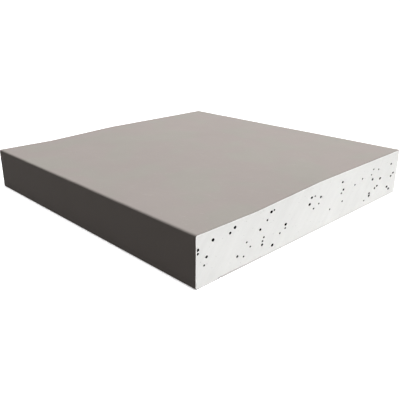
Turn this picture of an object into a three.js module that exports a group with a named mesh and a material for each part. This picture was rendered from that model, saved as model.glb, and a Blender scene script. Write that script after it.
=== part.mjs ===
// Tapered-edge gypsum plasterboard: a sawn sample about 100 mm square, lying on its back.
//
// A foamed gypsum core lies between two paper liners. The face paper covers the top, turns down
// round the one long edge that the sample keeps, and laps under the core. The back paper covers
// the underside and is glued over that lap. The other three sides are sawn, and show the core.
//
// X runs across the board from the wrapped edge (-X) to the sawn side (+X), Y runs along it from
// one sawn end to the other, and Z runs up from the back to the face. Sizes are in millimetres.
// The origin is the centre of the underside.
import * as THREE from "three";

// The sample
const sampleWidth = 101.6; // wrapped edge to sawn side
const sampleLength = 104; // sawn end to sawn end

// Thickness over both papers, from the wrapped edge to the sawn side
const edgeThickness = 14.15; // along the level margin beside the wrapped edge
const shoulderThickness = 15.5; // where the taper ends
const fieldThickness = 15.9; // at the sawn side, after the last easy rise

// The taper, which leaves room for joint tape and filler
const marginWidth = 20.4; // level strip beside the wrapped edge
const taperWidth = 50; // wrapped edge to the end of the slope

// Paper liners
const facePaper = 0.4;
const backPaper = 0.35;
const lapWidth = 25; // how far the face paper reaches under the core
const lapStep = 1.2; // length in which the lap climbs on to the back paper
const backPaperSetIn = 9; // wrapped edge to the back paper's own edge

// Radii of the core's two long corners at the wrapped edge, under the paper
const coreFaceRadius = 0.15;
const coreBackRadius = 0.1;
const arcSteps = 6; // half the facets in each quarter turn

const wrappedEdgeX = -sampleWidth / 2;
const sawnSideX = sampleWidth / 2;
const marginX = wrappedEdgeX + marginWidth;
const shoulderX = wrappedEdgeX + taperWidth;
const backPaperX = wrappedEdgeX + backPaperSetIn;
const lapEndX = wrappedEdgeX + lapWidth;

const material = {
  facePaper: new THREE.MeshStandardMaterial({ color: 0xb0a8a3, roughness: 0.9, metalness: 0 }),
  backPaper: new THREE.MeshStandardMaterial({ color: 0xa79b8e, roughness: 0.95, metalness: 0 }),
  gypsum: new THREE.MeshStandardMaterial({ color: 0xebebe9, roughness: 0.95, metalness: 0 }),
};

// The line that the face paper follows in the section, at a depth under its outer surface:
// along the field from the sawn side, down the taper, round the wrapped edge and under the core.
function wrapLine(depth) {
  const faceRadius = coreFaceRadius + facePaper;
  const backRadius = coreBackRadius + facePaper;
  const line = new THREE.Path();
  line.moveTo(sawnSideX, fieldThickness - depth);
  line.lineTo(shoulderX, shoulderThickness - depth);
  line.lineTo(marginX, edgeThickness - depth);
  line.absarc(
    wrappedEdgeX + faceRadius, edgeThickness - faceRadius, faceRadius - depth,
    Math.PI / 2, Math.PI,
  );
  line.absarc(
    wrappedEdgeX + backRadius, backRadius, backRadius - depth,
    Math.PI, 1.5 * Math.PI,
  );
  line.lineTo(backPaperX - lapStep, depth);
  line.lineTo(backPaperX, backPaper + depth);
  line.lineTo(lapEndX, backPaper + depth);
  return line.getPoints(arcSteps);
}

// The core fills the section inside the face paper, down to the back paper.
function coreSection() {
  return new THREE.Shape([
    ...wrapLine(facePaper),
    new THREE.Vector2(lapEndX, backPaper),
    new THREE.Vector2(sawnSideX, backPaper),
  ]);
}

function facePaperSection() {
  return new THREE.Shape([...wrapLine(0), ...wrapLine(facePaper).reverse()]);
}

function backPaperSection() {
  return new THREE.Shape([
    new THREE.Vector2(backPaperX, 0),
    new THREE.Vector2(sawnSideX, 0),
    new THREE.Vector2(sawnSideX, backPaper),
    new THREE.Vector2(backPaperX, backPaper),
  ]);
}

// A piece of the board: its section run along the whole length between the two sawn ends.
function layer(name, section, finish) {
  const geometry = new THREE.ExtrudeGeometry(section, { depth: sampleLength, bevelEnabled: false });
  const mesh = new THREE.Mesh(geometry, finish);
  mesh.name = name;
  return mesh;
}

const board = new THREE.Group();
board.name = "gypsum_plasterboard";
board.add(layer("gypsum_core", coreSection(), material.gypsum));
board.add(layer("face_paper", facePaperSection(), material.facePaper));
board.add(layer("back_paper", backPaperSection(), material.backPaper));

// The sections are drawn in X and height: this stands them up, and centres the length on Y.
board.rotation.x = Math.PI / 2;
board.position.y = sampleLength / 2;

export default board;
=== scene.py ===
"""Dresses a sawn sample of tapered-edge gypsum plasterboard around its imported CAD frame.

X runs across the board from the paper-wrapped edge (-X) to the sawn side (+X), Y runs along it
between the two sawn ends, and Z runs up from the back paper to the face paper. Metres throughout.
"""
import math
import random

import bpy
from mathutils import Matrix, Vector
from mathutils.bvhtree import BVHTree


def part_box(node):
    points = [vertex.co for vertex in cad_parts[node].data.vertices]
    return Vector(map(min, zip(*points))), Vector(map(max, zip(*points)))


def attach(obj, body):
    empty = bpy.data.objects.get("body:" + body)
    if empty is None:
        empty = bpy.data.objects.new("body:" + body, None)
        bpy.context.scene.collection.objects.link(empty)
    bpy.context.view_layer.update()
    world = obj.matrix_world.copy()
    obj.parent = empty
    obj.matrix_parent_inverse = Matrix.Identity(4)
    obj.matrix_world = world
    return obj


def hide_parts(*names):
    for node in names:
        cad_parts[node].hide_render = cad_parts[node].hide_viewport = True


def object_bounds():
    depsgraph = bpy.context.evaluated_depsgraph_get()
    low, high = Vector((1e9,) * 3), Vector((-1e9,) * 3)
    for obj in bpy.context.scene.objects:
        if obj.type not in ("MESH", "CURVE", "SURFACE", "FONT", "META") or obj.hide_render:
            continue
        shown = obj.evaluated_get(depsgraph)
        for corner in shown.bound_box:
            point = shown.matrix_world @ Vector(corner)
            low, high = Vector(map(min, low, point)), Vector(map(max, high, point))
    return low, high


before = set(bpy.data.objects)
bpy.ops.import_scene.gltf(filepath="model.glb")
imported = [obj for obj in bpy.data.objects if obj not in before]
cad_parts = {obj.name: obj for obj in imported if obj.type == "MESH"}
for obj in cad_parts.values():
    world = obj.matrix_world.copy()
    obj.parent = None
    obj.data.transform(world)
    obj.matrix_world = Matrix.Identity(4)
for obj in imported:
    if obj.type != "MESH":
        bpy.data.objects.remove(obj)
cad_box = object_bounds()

bl_info = {
    "name": "Plasterboard sample",
    "version": (1, 0, 0),
    "blender": (4, 5, 0),
    "location": "3D View > Sidebar > Plasterboard",
    "description": "Models and finishes a sawn sample of tapered-edge gypsum plasterboard",
    "category": "Object",
}

MM = 0.001
LOW, HIGH = cad_box
WRAPPED_EDGE_X, SAWN_SIDE_X = LOW.x, HIGH.x
FRONT_END_Y, REAR_END_Y = LOW.y, HIGH.y
CORE_LOW, CORE_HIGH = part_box("gypsum_core")
BACK_LOW, BACK_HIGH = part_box("back_paper")

# The height of the level margin beside the wrapped edge, and how close counts as touching
FACE_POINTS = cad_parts["face_paper"].data.vertices
MARGIN_Z = max(point.co.z for point in FACE_POINTS if point.co.x < WRAPPED_EDGE_X + 5 * MM)
NEAR = 0.001 * MM

# Air bubbles that the photograph shows cut open on the front end, in millimetres: the distance
# from the wrapped edge, then the height above the back.
DEEP_BUBBLES = [
    (0.72, 10.3), (5.7, 11.3), (13.4, 12.2), (27.8, 12.3), (29.0, 2.2), (34.6, 6.7), (45.8, 9.6),
    (83.4, 8.8), (89.0, 7.9), (95.1, 3.4), (96.7, 2.3), (82.2, 3.2),
]
OPEN_BUBBLES = [
    (0.65, 9.3), (3.6, 7.6), (11.7, 11.2), (14.6, 3.8), (23.4, 8.5), (24.5, 3.8), (46.7, 11.5),
    (51.5, 10.5), (63.5, 12.4), (64.4, 9.7), (82.1, 4.1), (85.7, 5.1), (87.3, 5.6), (98.8, 7.9),
    (97.2, 7.0), (96.2, 11.7),
]
SMALL_BUBBLES = [
    (25.1, 5.8), (24.6, 4.8), (26.2, 10.4), (32.1, 4.8), (34.5, 5.6), (48.1, 7.7), (63.3, 8.7),
    (64.4, 5.8), (71.5, 9.6), (76.2, 10.6), (29.0, 12.5),
]
FAINT_BUBBLES = [
    (2.8, 5.6), (18.1, 6.6), (19.6, 4.9), (17.1, 2.9), (48.4, 11.5), (50.7, 8.6), (57.3, 5.0),
    (82.2, 10.7), (83.3, 12.4), (87.0, 11.6), (79.0, 2.2),
]

# Each kind of front bubble has a radius, and lies with its centre behind the sawn end by a share of
# that radius. Its depth and height are shares of it too, and it widens away from the wrapped edge.
FRONT_BUBBLES = (
    (DEEP_BUBBLES, 0.53 * MM, 0.5), (OPEN_BUBBLES, 0.45 * MM, 0.5),
    (SMALL_BUBBLES, 0.34 * MM, 0.4), (FAINT_BUBBLES, 0.30 * MM, 0.1),
)
WIDER_PER_MM = 0.005
BUBBLE_DEPTH = 1.2
BUBBLE_HEIGHT = 0.85

# Radii of the unseen bubbles in millimetres, the band of the cuts where they lie, and the least gap
# between them
UNSEEN_RADII = (0.22, 0.24, 0.28, 0.34, 0.42)
BUBBLE_INSET = 1.2 * MM
LOWEST_BUBBLE = 1.6 * MM
HIGHEST_BUBBLE = 12.8 * MM
BUBBLE_GAP = 0.1 * MM

# Spacing of the rows of faces on the face liner: across the board, up the wrapped edge and along the
# board. The closer rows at each sawn end lie this many millimetres from it.
FACE_ACROSS = 0.5 * MM
FACE_UP = 0.75 * MM
FACE_ALONG = 2 * MM
END_ROWS = (0.08, 0.2, 0.5, 1.0)

# Spacing of the rows on the back liner, and the level from which both papers fray: above a half, so
# that the cut mostly draws back
BACK_SPACING = 0.8 * MM
FRAY_MIDDLE = 0.62


# Editing by hand, in code


def look_at(piece):
    """Leaves one piece selected and active, in object mode."""
    bpy.ops.object.select_all(action="DESELECT")
    piece.select_set(True)
    bpy.context.view_layer.objects.active = piece


def edit(piece, *steps):
    """Runs each step in edit mode on the piece, and comes back to object mode."""
    look_at(piece)
    bpy.ops.object.mode_set(mode="EDIT")
    for step in steps:
        step()
    bpy.ops.object.mode_set(mode="OBJECT")


def choose_faces(piece, wanted):
    """Selects only the faces for which wanted(centre, normal) is true."""
    edit(
        piece,
        lambda: bpy.ops.mesh.select_all(action="DESELECT"),
        lambda: bpy.ops.mesh.select_mode(type="FACE"),
    )
    for face in piece.data.polygons:
        face.select = wanted(face.center, face.normal)


def points_group(piece, name, weight):
    """Adds a vertex group in which every point has weight(place), and leaves zero weights out."""
    group = piece.vertex_groups.new(name=name)
    for point in piece.data.vertices:
        amount = weight(point.co)
        if amount > 0:
            group.add([point.index], amount, "REPLACE")
    return name


def mark_plies(piece, inner):
    """Gives each point of a paper its ply: 0 on the outer surface, and 1 where inner(place) is true."""
    ply = piece.data.attributes.new("ply", "FLOAT", "POINT")
    for point in piece.data.vertices:
        ply.data[point.index].value = 1.0 if inner(point.co) else 0.0


def copy_of_node(node, name):
    """A new piece from a CAD node's mesh, with its loose triangles merged back to plain faces."""
    piece = bpy.data.objects.new(name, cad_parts[node].data.copy())
    piece.data.name = name
    piece.data.materials.clear()
    bpy.context.scene.collection.objects.link(piece)
    look_at(piece)
    bpy.ops.mesh.customdata_custom_splitnormals_clear()
    edit(
        piece,
        lambda: bpy.ops.mesh.select_all(action="SELECT"),
        lambda: bpy.ops.mesh.remove_doubles(threshold=NEAR),
        lambda: bpy.ops.mesh.dissolve_limited(angle_limit=math.radians(0.05)),
        lambda: bpy.ops.mesh.vert_connect_concave(),
    )
    return piece


def steps_between(low, high, spacing):
    """Places between two ends, not counting them, at even steps of about the spacing."""
    count = max(1, round((high - low) / spacing))
    return [low + (high - low) * i / count for i in range(1, count)]


def anywhere(centre, normal):
    return True


def on_sawn_end(centre, normal):
    return abs(normal.y) > 0.9


def on_sawn_side(centre, normal):
    return normal.x > 0.9


def cut_faces(piece, wanted, axis, places):
    """Bisects the wanted faces at each place along an axis, with the other faces hidden meanwhile."""
    choose_faces(piece, wanted)
    bpy.ops.object.mode_set(mode="EDIT")
    bpy.ops.mesh.hide(unselected=True)
    for place in places:
        bpy.ops.mesh.select_all(action="SELECT")
        point = [place if i == axis else 0 for i in range(3)]
        normal = [1 if i == axis else 0 for i in range(3)]
        bpy.ops.mesh.bisect(plane_co=point, plane_no=normal)
    bpy.ops.mesh.reveal(select=False)
    bpy.ops.object.mode_set(mode="OBJECT")


def push_by_noise(
    piece, group, direction, height, size, turn=(0, 0, 0), stretch=(1, 1, 1), middle=0.5, depth=2,
):
    """Moves the points of a group by a cloud pattern, which may be turned and stretched."""
    pattern = bpy.data.textures.new("relief", type="CLOUDS")
    pattern.noise_scale = size
    pattern.noise_depth = depth
    bpy.ops.object.empty_add(rotation=turn)
    lie = bpy.context.object
    lie.scale = stretch
    bpy.context.view_layer.update()
    look_at(piece)
    push = piece.modifiers.new("relief", "DISPLACE")
    push.texture = pattern
    push.texture_coords = "OBJECT"
    push.texture_coords_object = lie
    push.direction = direction
    push.vertex_group = group
    push.mid_level = middle
    push.strength = height
    bpy.ops.object.modifier_apply(modifier=push.name)
    bpy.data.objects.remove(lie)
    bpy.data.textures.remove(pattern)


def roughen_cut(piece, name, on_cut, direction, height, size, **pattern):
    """Pushes only the points on one sawn cut in and out by a cloud pattern."""
    group = points_group(piece, name, lambda place: 1.0 if on_cut(place) else 0.0)
    push_by_noise(piece, group, direction, height, size, **pattern)


def fray_ends(paper, burr, size):
    """Makes both sawn ends of a paper ragged, mostly inwards."""
    ends = (
        ("front", -1, lambda place: -place.y > REAR_END_Y - NEAR),
        ("rear", 1, lambda place: place.y > REAR_END_Y - NEAR),
    )
    for name, outwards, on_cut in ends:
        roughen_cut(paper, name, on_cut, "Y", outwards * burr, size, middle=FRAY_MIDDLE)


def finish_piece(piece, node, materials, smooth_under):
    """Gives a piece its materials, its shading, its body and its place in the frame."""
    piece.data.materials.clear()
    for material in materials:
        piece.data.materials.append(material)
    look_at(piece)
    bpy.ops.object.shade_smooth_by_angle(angle=smooth_under)
    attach(piece, "root")
    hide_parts(node)


# Materials


class Wire:
    """A number's socket in a material, on which Python's operators add Math nodes."""

    def __init__(self, nodes, socket):
        self.nodes = nodes
        self.socket = socket

    def math(self, operation, *others):
        node = self.nodes.add("Math", operation=operation)
        for place, value in enumerate((self, *others)):
            self.nodes.join(value, node.inputs[place])
        return Wire(self.nodes, node.outputs[0])

    def __add__(self, other):
        return self.math("ADD", other)

    def __radd__(self, other):
        return self.math("ADD", other)

    def __sub__(self, other):
        return self.math("SUBTRACT", other)

    def __rsub__(self, other):
        return (self * -1) + other

    def __mul__(self, other):
        return self.math("MULTIPLY", other)

    def __rmul__(self, other):
        return self.math("MULTIPLY", other)

    def size(self):
        return self.math("ABSOLUTE")

    def larger(self, other):
        return self.math("MAXIMUM", other)

    def smaller(self, other):
        return self.math("MINIMUM", other)


class Nodes:
    """The node tree of one material or world, and the ways to add to it."""

    def __init__(self, tree):
        self.tree = tree
        tree.nodes.clear()

    def add(self, kind, **settings):
        node = self.tree.nodes.new("ShaderNode" + kind)
        for name, value in settings.items():
            setattr(node, name, value)
        return node

    def join(self, value, socket):
        """Links a socket or a wire to an input, or writes a plain value into it."""
        if isinstance(value, Wire):
            value = value.socket
        if isinstance(value, bpy.types.NodeSocket):
            self.tree.links.new(value, socket)
        else:
            socket.default_value = value

    def node(self, kind, settings=None, **inputs):
        """Any node: its settings come first, then its inputs by name, with _ for a space."""
        node = self.add(kind, **(settings or {}))
        for name, value in inputs.items():
            self.join(value, node.inputs[name.replace("_", " ")])
        return node

    def wire(self, socket):
        return Wire(self, socket)

    def place(self):
        """The Object coordinates, whole and as three wires."""
        whole = self.add("TexCoord").outputs["Object"]
        split = self.node("SeparateXYZ", Vector=whole)
        return whole, [self.wire(split.outputs[i]) for i in range(3)]

    def attribute(self, name):
        return self.wire(self.node("Attribute", {"attribute_name": name}).outputs["Fac"])

    def turned(self, vector, turn=(0, 0, 0), stretch=(1, 1, 1)):
        """Coordinates for a pattern that is stretched along its own axes, and then turned."""
        node = self.node(
            "Mapping", {"vector_type": "TEXTURE"}, Vector=vector, Rotation=turn, Scale=stretch,
        )
        return node.outputs[0]

    def noise(self, vector, size, detail=2.0, roughness=0.5, warp=0.0):
        """A noise from 0 to 1, about 0.5, with features of a size in metres."""
        node = self.node(
            "TexNoise", Vector=vector, Scale=1 / size, Detail=detail, Roughness=roughness,
            Distortion=warp,
        )
        return self.wire(node.outputs["Fac"])

    def cells(self, vector, size):
        """The distance from the nearest of many scattered points, as a share of their spacing."""
        node = self.node("TexVoronoi", Vector=vector, Scale=1 / size)
        return self.wire(node.outputs["Distance"])

    def rise(self, value, start, end):
        """From 0 where the value is at the start to 1 where it is at the end, smoothly."""
        node = self.node(
            "MapRange", {"interpolation_type": "SMOOTHSTEP", "clamp": True},
            Value=value, From_Min=start, From_Max=end,
        )
        return self.wire(node.outputs["Result"])

    def blend(self, share, first, second):
        """A colour between two others."""
        node = self.add("Mix", data_type="RGBA")
        self.join(share, node.inputs["Factor"])
        for value, socket in ((first, node.inputs[6]), (second, node.inputs[7])):
            self.join(value if isinstance(value, bpy.types.NodeSocket) else (*value, 1.0), socket)
        return node.outputs[2]

    def scaled(self, colour, amount):
        """A colour made lighter or darker by a wire, where 1 leaves it alone."""
        node = self.add("VectorMath", operation="SCALE")
        self.join(colour, node.inputs[0])
        self.join(amount, node.inputs["Scale"])
        return node.outputs[0]

    def relief(self, height, distance, strength=1.0, under=None):
        inputs = {"Height": height, "Distance": distance, "Strength": strength}
        if under is not None:
            inputs["Normal"] = under
        return self.node("Bump", **inputs).outputs[0]


def new_material(name):
    material = bpy.data.materials.new(name)
    material.use_nodes = True
    return material, Nodes(material.node_tree)


def surface(nodes, colour, roughness, normal, specular=0.3, glow=0.0):
    """Ends a material with one plain shader, which may glow a little."""
    shader = nodes.node(
        "BsdfPrincipled", Base_Color=colour, Roughness=roughness, Normal=normal,
        Specular_IOR_Level=specular, Emission_Strength=glow,
    )
    output = nodes.add("OutputMaterial")
    nodes.join(shader.outputs[0], output.inputs["Surface"])


def depth_below_cut(x, y):
    """How deep a place lies below the nearest sawn cut."""
    return (REAR_END_Y - y.size()).smaller(SAWN_SIDE_X - x)


def gypsum_material(settings):
    """White foamed gypsum as the saw leaves it: chalky, faintly streaked, with pinholes dented in and
    painted darker as shade.
    """
    material, nodes = new_material("sawn_gypsum")
    where, _ = nodes.place()
    streaked = nodes.turned(where, turn=(0, settings.streak_angle, 0), stretch=(1, 1, 8))
    streaks = nodes.noise(streaked, 1.6 * MM, detail=3.0)
    clouds = nodes.noise(where, 14 * MM, detail=2.0)
    grain = nodes.noise(where, 0.35 * MM, detail=3.0, roughness=0.6)
    # Pinholes: a real dent in the bump, and painted shade where the colour darkens in them
    holes = nodes.rise(nodes.cells(where, 1.6 * MM), 0.11, 0.06)
    shade = 0.89 + 0.11 * streaks + 0.09 * clouds + 0.03 * grain - 0.22 * holes
    colour = nodes.scaled(settings.colour, shade)
    roughness = 0.88 + 0.1 * grain
    fine = nodes.relief(grain, 0.05 * MM, 0.5)
    normal = nodes.relief(streaks - 1.5 * holes, 0.06 * MM, 0.6, under=fine)
    surface(nodes, colour, roughness, normal)
    return material


def bubble_material(settings):
    """The wall of a bubble, with painted shade that deepens with its depth below the nearest sawn face.
    """
    material, nodes = new_material("bubble_wall")
    where, (x, y, _) = nodes.place()
    # Painted shade: the walls are the same white gypsum, turned near black with depth to stand in for
    # the shade inside each hollow
    dark = nodes.rise(depth_below_cut(x, y), 0.0, 0.06 * MM)
    grain = nodes.noise(where, 0.15 * MM, detail=2.0)
    colour = nodes.blend(dark, tuple(settings.colour), tuple(settings.bubble_shade_colour))
    colour = nodes.scaled(colour, 0.85 + 0.3 * grain)
    surface(nodes, colour, 0.9 + 0.08 * grain, nodes.relief(grain, 0.03 * MM, 0.5))
    return material


def paper_pulp(nodes, where, along):
    """Mottling, fibres and flecks of recycled paper, whose fibres lie mostly along one way."""
    mottle = nodes.noise(where, 9 * MM, detail=3.0)
    cloud = nodes.noise(where, 45 * MM, detail=1.0)
    straight = nodes.turned(where, stretch=along)
    fibres = nodes.noise(straight, 0.28 * MM, detail=3.0, roughness=0.6, warp=0.6)
    crossing = nodes.turned(where, turn=(0, 0, 0.5), stretch=along)
    flecks = nodes.noise(crossing, 0.5 * MM, detail=1.0, warp=1.2)
    return cloud, mottle, fibres, nodes.rise(flecks, 0.66, 0.74)


def face_paper_material(settings):
    """Smooth warm grey liner paper, painted dark as shade where it goes down the wrapped edge."""
    material, nodes = new_material("face_liner")
    where, (x, y, z) = nodes.place()
    cloud, mottle, fibres, flecks = paper_pulp(nodes, where, (1, 5, 1))
    shade = 0.92 + 0.05 * cloud + 0.06 * mottle + 0.05 * fibres + 0.07 * flecks
    inset = x - WRAPPED_EDGE_X
    below_corner = MARGIN_Z - z - 0.35 * inset + 0.2 * MM * mottle
    # Painted shade: the liner down the wrapped edge is the face's own paper, painted near black to stand
    # in for the shade that side falls in
    edge = nodes.rise(below_corner, -0.3 * MM, 0.6 * MM) * nodes.rise(inset, 5 * MM, 2.5 * MM)
    cool = nodes.rise(nodes.noise(where, 16 * MM, detail=2.0, warp=0.5), 0.42, 0.62)
    grey = nodes.blend(cool, tuple(settings.colour), tuple(settings.cool_colour))
    colour = nodes.blend(edge, grey, tuple(settings.edge_shade_colour))
    below_cut = depth_below_cut(x, y)
    ply = nodes.attribute("ply")
    cut = nodes.rise(below_cut, 0.12 * MM, 0.02 * MM) * nodes.rise(ply, 0.0, 0.06)
    dusty = nodes.rise(ply + 0.3 * mottle, 0.22, 0.42) * nodes.rise(z, 0.5 * MM, 2 * MM).larger(0.9)
    inside = nodes.blend(dusty, tuple(settings.cut_colour), tuple(settings.dust_colour))
    colour = nodes.blend(cut, colour, inside)
    rim = nodes.rise(below_cut, 0.75 * MM, 0.2 * MM) * (1 - cut)
    colour = nodes.scaled(colour, shade - 0.08 * rim)
    roughness = 0.8 + 0.12 * fibres
    coarse = nodes.relief(mottle, 0.10 * MM, 0.35)
    normal = nodes.relief(fibres + flecks, 0.02 * MM, 0.5, under=coarse)
    surface(nodes, colour, roughness, normal, specular=0.15)
    return material


def back_paper_material(settings):
    """Rougher, browner back liner with long fibres and dark flecks."""
    material, nodes = new_material("back_liner")
    where, (x, y, _) = nodes.place()
    cloud, mottle, fibres, flecks = paper_pulp(nodes, where, (1, 8, 1))
    specks = nodes.rise(nodes.cells(nodes.turned(where, stretch=(1, 2.5, 1)), 2.5 * MM), 0.1, 0.06)
    shade = 0.88 + 0.07 * cloud + 0.08 * mottle + 0.12 * fibres + 0.08 * flecks - 0.3 * specks
    dust = nodes.rise(depth_below_cut(x, y), 0.15 * MM, 0.02 * MM)
    colour = nodes.blend(dust * 0.85, tuple(settings.colour), tuple(settings.dust_colour))
    colour = nodes.scaled(colour, shade)
    normal = nodes.relief(fibres + 0.5 * mottle, 0.05 * MM, 0.6)
    surface(nodes, colour, 0.86 + 0.12 * fibres, normal)
    return material


def floor_material(settings):
    """A pale matt light table, whose glow leaves hardly a shadow by the board."""
    material, nodes = new_material("studio_floor")
    where, _ = nodes.place()
    shade = 0.99 + 0.02 * nodes.noise(where, 0.2, detail=2.0)
    colour = nodes.scaled(settings.floor_colour, shade)
    surface(nodes, colour, 0.9, nodes.relief(shade, 0.0001, 0.1), 0.1, settings.floor_glow)
    return material


# What a user would change


class CoreSettings(bpy.types.PropertyGroup):
    colour: bpy.props.FloatVectorProperty(
        name="Gypsum", description="Colour of the sawn gypsum", subtype="COLOR",
        default=(0.725, 0.723, 0.708), min=0, max=1,
    )
    # Painted shade: the near black that the bubble walls take on deep inside, standing in for the shade
    # in each hollow
    bubble_shade_colour: bpy.props.FloatVectorProperty(
        name="Bubble", description="Colour deep inside an opened air bubble", subtype="COLOR",
        default=(0.004, 0.004, 0.004), min=0, max=1,
    )
    cut_spacing: bpy.props.FloatProperty(
        name="Cut spacing", description="Size of the faces on the sawn surfaces", subtype="DISTANCE",
        unit="LENGTH", default=0.4 * MM,
    )
    saw_relief: bpy.props.FloatProperty(
        name="Saw relief", description="Height of the marks that the saw leaves", subtype="DISTANCE",
        unit="LENGTH", default=0.07 * MM,
    )
    streak_angle: bpy.props.FloatProperty(
        name="Streak angle", description="Lean of the saw's streaks from upright", subtype="ANGLE",
        default=math.radians(42),
    )
    bubbles_per_cm2: bpy.props.FloatProperty(
        name="Bubbles", description="Open bubbles in each square centimetre of the unseen cuts",
        default=3.2,
    )
    seed: bpy.props.IntProperty(name="Seed", description="Chooses the unseen bubbles", default=7)


class FacePaperSettings(bpy.types.PropertyGroup):
    colour: bpy.props.FloatVectorProperty(
        name="Face", description="Colour of the face liner", subtype="COLOR",
        default=(0.335, 0.301, 0.284), min=0, max=1,
    )
    cool_colour: bpy.props.FloatVectorProperty(
        name="Cooler patches", description="Colour of the face liner's cooler patches", subtype="COLOR",
        default=(0.328, 0.308, 0.283), min=0, max=1,
    )
    # Painted shade: the same liner as the face, made near black down the wrapped edge to stand in for
    # the shade there
    edge_shade_colour: bpy.props.FloatVectorProperty(
        name="Wrapped edge", description="Colour of the liner on the wrapped edge", subtype="COLOR",
        default=(0.051, 0.0435, 0.039), min=0, max=1,
    )
    cut_colour: bpy.props.FloatVectorProperty(
        name="Cut edge", description="Colour of the liner's own cut edge", subtype="COLOR",
        default=(0.20, 0.185, 0.17), min=0, max=1,
    )
    dust_colour: bpy.props.FloatVectorProperty(
        name="Dust", description="Gypsum that the saw leaves on the liner's inner plies",
        subtype="COLOR", default=(0.80, 0.79, 0.78), min=0, max=1,
    )
    waviness: bpy.props.FloatProperty(
        name="Waviness", description="How far the liner rises and falls", subtype="DISTANCE",
        unit="LENGTH", default=0.08 * MM,
    )
    burr: bpy.props.FloatProperty(
        name="Burr", description="Raggedness of the sawn paper", subtype="DISTANCE",
        unit="LENGTH", default=0.16 * MM,
    )
    burr_size: bpy.props.FloatProperty(
        name="Burr size", description="Length of one rag of the sawn paper", subtype="DISTANCE",
        unit="LENGTH", default=0.9 * MM,
    )


class BackPaperSettings(bpy.types.PropertyGroup):
    colour: bpy.props.FloatVectorProperty(
        name="Back", description="Colour of the back liner", subtype="COLOR",
        default=(0.36, 0.30, 0.24), min=0, max=1,
    )
    dust_colour: bpy.props.FloatVectorProperty(
        name="Dust", description="Gypsum dust on the liner's cut edge", subtype="COLOR",
        default=(0.60, 0.59, 0.58), min=0, max=1,
    )
    burr: bpy.props.FloatProperty(
        name="Burr", description="Raggedness of the sawn paper", subtype="DISTANCE",
        unit="LENGTH", default=0.12 * MM,
    )
    burr_size: bpy.props.FloatProperty(
        name="Burr size", description="Length of one rag of the sawn paper", subtype="DISTANCE",
        unit="LENGTH", default=1.1 * MM,
    )


class StageSettings(bpy.types.PropertyGroup):
    camera_place: bpy.props.FloatVectorProperty(
        name="Camera", description="Where the camera stands", subtype="TRANSLATION", unit="LENGTH",
        default=(-0.1212, -0.1253, 0.0610),
    )
    camera_turn: bpy.props.FloatProperty(
        name="Turn", description="Camera's turn from looking along +Y", subtype="ANGLE",
        default=math.radians(-44.363),
    )
    camera_tilt: bpy.props.FloatProperty(
        name="Tilt", description="How far the camera looks down", subtype="ANGLE",
        default=math.radians(20.58),
    )
    camera_roll: bpy.props.FloatProperty(
        name="Roll", description="Camera's lean to the left", subtype="ANGLE",
        default=math.radians(0.33),
    )
    focal_length: bpy.props.FloatProperty(
        name="Focal length", description="Focal length on a 36 mm sensor, in millimetres", default=44.46,
    )
    floor_colour: bpy.props.FloatVectorProperty(
        name="Floor", description="Colour of the floor", subtype="COLOR",
        default=(0.90, 0.90, 0.90), min=0, max=1,
    )
    floor_glow: bpy.props.FloatProperty(
        name="Floor glow", description="Strength of the light from under the floor", default=0.42,
    )
    floor_radius: bpy.props.FloatProperty(
        name="Floor radius", description="Size of the floor", subtype="DISTANCE", unit="LENGTH",
        default=6.0,
    )
    key_strength: bpy.props.FloatProperty(
        name="Key light", description="Strength of the soft light from above", default=2.85,
    )
    key_angle: bpy.props.FloatProperty(
        name="Key angle", description="How wide the key light is in the sky", subtype="ANGLE",
        default=math.radians(40),
    )
    key_direction: bpy.props.FloatVectorProperty(
        name="Key direction", description="From the board towards the light", subtype="DIRECTION",
        default=(-0.03, -0.24, 0.97),
    )
    side_place: bpy.props.FloatVectorProperty(
        name="Side light", description="Where the light above the sawn side stands",
        subtype="TRANSLATION", unit="LENGTH", default=(0.10, 0.0, 0.22),
    )
    side_strength: bpy.props.FloatProperty(
        name="Side strength", description="Power of the side light, in watts", default=0.25,
    )
    side_width: bpy.props.FloatProperty(
        name="Side width", description="Width of the side light", subtype="DISTANCE", unit="LENGTH",
        default=0.25,
    )
    fill_strength: bpy.props.FloatProperty(
        name="Fill light", description="Strength of the dim light from all over the ceiling",
        default=0.5,
    )
    fill_angle: bpy.props.FloatProperty(
        name="Fill angle", description="How wide the fill light is in the sky", subtype="ANGLE",
        default=math.radians(170),
    )
    backdrop_strength: bpy.props.FloatProperty(
        name="Backdrop", description="Strength of the white that only the camera sees", default=1.1,
    )


# Pieces


def bubble_cutter(places):
    """One mesh of many rounded hollows, each placed as (centre, radii). Round ones are also turned."""
    hollows = []
    for number, (centre, radii) in enumerate(places):
        bpy.ops.mesh.primitive_ico_sphere_add(subdivisions=3, radius=1, location=centre)
        hollow = bpy.context.object
        hollow.scale = radii
        if radii[0] == radii[2]:
            hollow.rotation_euler = (0.5 * number, 0.3 * number, 0.7 * number)
        hollows.append(hollow)
    bpy.ops.object.select_all(action="DESELECT")
    for hollow in hollows:
        hollow.select_set(True)
    bpy.context.view_layer.objects.active = hollows[0]
    bpy.ops.object.join()
    cutter = bpy.context.object
    cutter.name = "bubbles"
    bpy.ops.object.transform_apply(location=True, rotation=True, scale=True)
    return cutter


def front_bubbles():
    """The bubbles that show in the photograph: places and radii on the front end."""
    made = []
    for places, radius, sunk in FRONT_BUBBLES:
        for across, up in places:
            wide = radius * (1 + WIDER_PER_MM * across)
            centre = Vector((WRAPPED_EDGE_X + across * MM, FRONT_END_Y + sunk * radius, up * MM))
            made.append((centre, (wide, radius * BUBBLE_DEPTH, radius * BUBBLE_HEIGHT)))
    return made


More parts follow.
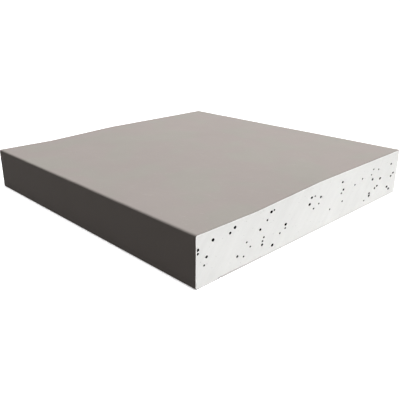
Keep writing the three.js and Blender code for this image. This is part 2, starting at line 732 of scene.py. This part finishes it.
def unseen_bubbles(settings):
    """Seeded bubbles on the rear end and on the sawn side, of which no two touch."""
    chance = random.Random(settings.seed)
    length = REAR_END_Y - FRONT_END_Y
    width = SAWN_SIDE_X - WRAPPED_EDGE_X
    made = []
    for run, on_end in ((width, True), (length, False)):
        square_centimetres = run * (CORE_HIGH.z - CORE_LOW.z) * 10000
        count = round(settings.bubbles_per_cm2 * square_centimetres)
        for _ in range(count):
            radius = chance.choice(UNSEEN_RADII) * MM * chance.uniform(0.9, 1.1)
            along = chance.uniform(BUBBLE_INSET, run - BUBBLE_INSET)
            up = chance.uniform(LOWEST_BUBBLE, HIGHEST_BUBBLE)
            sunk = chance.uniform(0.1, 0.6) * radius
            if on_end:
                centre = Vector((WRAPPED_EDGE_X + along, REAR_END_Y - sunk, up))
            else:
                centre = Vector((SAWN_SIDE_X - sunk, FRONT_END_Y + along, up))
            if all((centre - other).length > radius + size[0] + BUBBLE_GAP for other, size in made):
                made.append((centre, (radius, radius, radius)))
    return made


def cut_out(piece, cutter):
    look_at(piece)
    cut = piece.modifiers.new("bubbles", "BOOLEAN")
    cut.operation = "DIFFERENCE"
    cut.solver = "EXACT"
    cut.material_mode = "TRANSFER"
    cut.use_self = True
    cut.object = cutter
    bpy.ops.object.modifier_apply(modifier=cut.name)
    bpy.data.objects.remove(cutter)


class PLASTERBOARD_OT_core(bpy.types.Operator):
    """Makes the foamed gypsum core, with its sawn faces and opened air bubbles"""

    bl_idname = "plasterboard.core"
    bl_label = "Gypsum core"

    def execute(self, context):
        settings = context.scene.plasterboard_core
        core = copy_of_node("gypsum_core", "foamed_gypsum")
        spacing = settings.cut_spacing
        cut_faces(core, on_sawn_end, 2, steps_between(CORE_LOW.z, CORE_HIGH.z, spacing))
        cut_faces(core, on_sawn_end, 0, steps_between(CORE_LOW.x, CORE_HIGH.x, spacing))
        cut_faces(core, on_sawn_side, 2, steps_between(CORE_LOW.z, CORE_HIGH.z, spacing))
        cut_faces(core, on_sawn_side, 1, steps_between(CORE_LOW.y, CORE_HIGH.y, spacing))
        cuts = (
            ("front", "Y", -1, lambda place: place.y < CORE_LOW.y + NEAR),
            ("rear", "Y", 1, lambda place: place.y > CORE_HIGH.y - NEAR),
            ("side", "X", 1, lambda place: place.x > CORE_HIGH.x - NEAR),
        )
        for name, direction, outwards, on_cut in cuts:
            roughen_cut(
                core, name, on_cut, direction, outwards * settings.saw_relief, 1.2 * MM,
                turn=(0, settings.streak_angle, 0), stretch=(1, 1, 6), middle=1.0,
            )
        gypsum = gypsum_material(settings)
        bubble = bubble_material(settings)
        core.data.materials.append(gypsum)
        cutter = bubble_cutter(front_bubbles() + unseen_bubbles(settings))
        cutter.data.materials.append(bubble)
        cut_out(core, cutter)
        slots = [face.material_index for face in core.data.polygons]
        finish_piece(core, "gypsum_core", (gypsum, bubble), math.radians(35))
        core.data.polygons.foreach_set("material_index", slots)
        return {"FINISHED"}


class PLASTERBOARD_OT_face_paper(bpy.types.Operator):
    """Makes the face liner, wrapped round the long edge, with its ragged sawn ends"""

    bl_idname = "plasterboard.face_paper"
    bl_label = "Face paper"

    def execute(self, context):
        settings = context.scene.plasterboard_face_paper
        paper = copy_of_node("face_paper", "face_liner")
        cut_faces(paper, anywhere, 0, steps_between(WRAPPED_EDGE_X, SAWN_SIDE_X, FACE_ACROSS))
        cut_faces(paper, anywhere, 2, steps_between(1 * MM, 13 * MM, FACE_UP))
        near_ends = [sign * (REAR_END_Y - inset * MM) for sign in (-1, 1) for inset in END_ROWS]
        between = steps_between(FRONT_END_Y + FACE_ALONG, REAR_END_Y - FACE_ALONG, FACE_ALONG)
        cut_faces(paper, anywhere, 1, near_ends + between)
        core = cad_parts["gypsum_core"].data
        core_points = [point.co for point in core.vertices]
        core_surface = BVHTree.FromPolygons(core_points, [face.vertices for face in core.polygons])
        mark_plies(paper, lambda place: core_surface.find_nearest(place)[3] < 0.02 * MM)
        upper = points_group(paper, "upper", lambda place: min(1.0, place.z / (10 * MM) - 0.3))
        push_by_noise(paper, upper, "Z", settings.waviness, 22 * MM, depth=1)
        fray_ends(paper, settings.burr, settings.burr_size)
        liner = face_paper_material(settings)
        finish_piece(paper, "face_paper", (liner,), math.radians(40))
        return {"FINISHED"}


class PLASTERBOARD_OT_back_paper(bpy.types.Operator):
    """Makes the back liner, with its sawn edges a little ragged"""

    bl_idname = "plasterboard.back_paper"
    bl_label = "Back paper"

    def execute(self, context):
        settings = context.scene.plasterboard_back_paper
        paper = copy_of_node("back_paper", "back_liner")
        cut_faces(paper, anywhere, 0, steps_between(BACK_LOW.x, BACK_HIGH.x, BACK_SPACING))
        cut_faces(paper, anywhere, 1, steps_between(BACK_LOW.y, BACK_HIGH.y, BACK_SPACING))
        fray_ends(paper, settings.burr, settings.burr_size)
        roughen_cut(
            paper, "side", lambda place: place.x > SAWN_SIDE_X - NEAR, "X", settings.burr,
            settings.burr_size, middle=FRAY_MIDDLE,
        )
        liner = back_paper_material(settings)
        finish_piece(paper, "back_paper", (liner,), math.radians(40))
        return {"FINISHED"}


class PLASTERBOARD_OT_stage(bpy.types.Operator):
    """Makes the pale floor, the soft light and the camera"""

    bl_idname = "plasterboard.stage"
    bl_label = "Stage"

    def execute(self, context):
        settings = context.scene.plasterboard_stage
        bpy.ops.object.select_all(action="DESELECT")
        bpy.ops.mesh.primitive_circle_add(
            vertices=96, radius=settings.floor_radius, fill_type="NGON",
        )
        floor = context.object
        floor.name = "floor"
        floor.data.materials.append(floor_material(settings))

        bpy.ops.object.light_add(type="SUN")
        key = context.object
        key.name = "key_light"
        key.data.energy = settings.key_strength
        key.data.angle = settings.key_angle
        key.rotation_euler = Vector(settings.key_direction).to_track_quat("Z", "Y").to_euler()

        bpy.ops.object.light_add(type="AREA", location=settings.side_place)
        side = context.object
        side.name = "side_light"
        side.data.shape = "DISK"
        side.data.size = settings.side_width
        side.data.energy = settings.side_strength
        side.rotation_euler = Vector(settings.side_place).to_track_quat("Z", "Y").to_euler()

        bpy.ops.object.light_add(type="SUN")
        fill = context.object
        fill.name = "fill_light"
        fill.data.energy = settings.fill_strength
        fill.data.angle = settings.fill_angle

        world = bpy.data.worlds.new("studio")
        context.scene.world = world
        world.use_nodes = True
        nodes = Nodes(world.node_tree)
        background = nodes.node(
            "Background", Color=(1, 1, 1, 1), Strength=settings.backdrop_strength,
        )
        nodes.join(background.outputs[0], nodes.add("OutputWorld").inputs["Surface"])
        world.cycles_visibility.diffuse = False
        world.cycles_visibility.glossy = False

        bpy.ops.object.camera_add(location=settings.camera_place)
        camera = context.object
        turn = Matrix.Rotation(settings.camera_turn, 4, "Z")
        tilt = Matrix.Rotation(math.radians(90) - settings.camera_tilt, 4, "X")
        roll = Matrix.Rotation(settings.camera_roll, 4, "Z")
        camera.rotation_euler = (turn @ tilt @ roll).to_euler()
        camera.data.lens = settings.focal_length
        camera.data.sensor_width = 36
        camera.data.clip_start = 0.005
        camera.data.clip_end = 20
        context.scene.camera = camera
        context.scene.view_settings.view_transform = "Standard"
        return {"FINISHED"}


class PLASTERBOARD_PT_panel(bpy.types.Panel):
    bl_label = "Plasterboard"
    bl_idname = "PLASTERBOARD_PT_panel"
    bl_space_type = "VIEW_3D"
    bl_region_type = "UI"
    bl_category = "Plasterboard"

    def draw(self, context):
        for operator, settings in SECTIONS:
            box = self.layout.box()
            box.operator(operator)
            group = getattr(context.scene, settings)
            for name in group.bl_rna.properties.keys():
                if name not in ("rna_type", "name"):
                    box.prop(group, name)


SECTIONS = (
    ("plasterboard.core", "plasterboard_core"),
    ("plasterboard.face_paper", "plasterboard_face_paper"),
    ("plasterboard.back_paper", "plasterboard_back_paper"),
    ("plasterboard.stage", "plasterboard_stage"),
)
GROUPS = {
    "plasterboard_core": CoreSettings,
    "plasterboard_face_paper": FacePaperSettings,
    "plasterboard_back_paper": BackPaperSettings,
    "plasterboard_stage": StageSettings,
}
CLASSES = (
    PLASTERBOARD_OT_core, PLASTERBOARD_OT_face_paper, PLASTERBOARD_OT_back_paper,
    PLASTERBOARD_OT_stage, PLASTERBOARD_PT_panel,
)


def register():
    for name, group in GROUPS.items():
        bpy.utils.register_class(group)
        setattr(bpy.types.Scene, name, bpy.props.PointerProperty(type=group))
    for shown in CLASSES:
        bpy.utils.register_class(shown)


def unregister():
    for shown in reversed(CLASSES):
        bpy.utils.unregister_class(shown)
    for name, group in GROUPS.items():
        delattr(bpy.types.Scene, name)
        bpy.utils.unregister_class(group)


def main():
    register()
    bpy.ops.plasterboard.stage()
    bpy.ops.plasterboard.core()
    bpy.ops.plasterboard.face_paper()
    bpy.ops.plasterboard.back_paper()


if __name__ == "__main__":
    main()
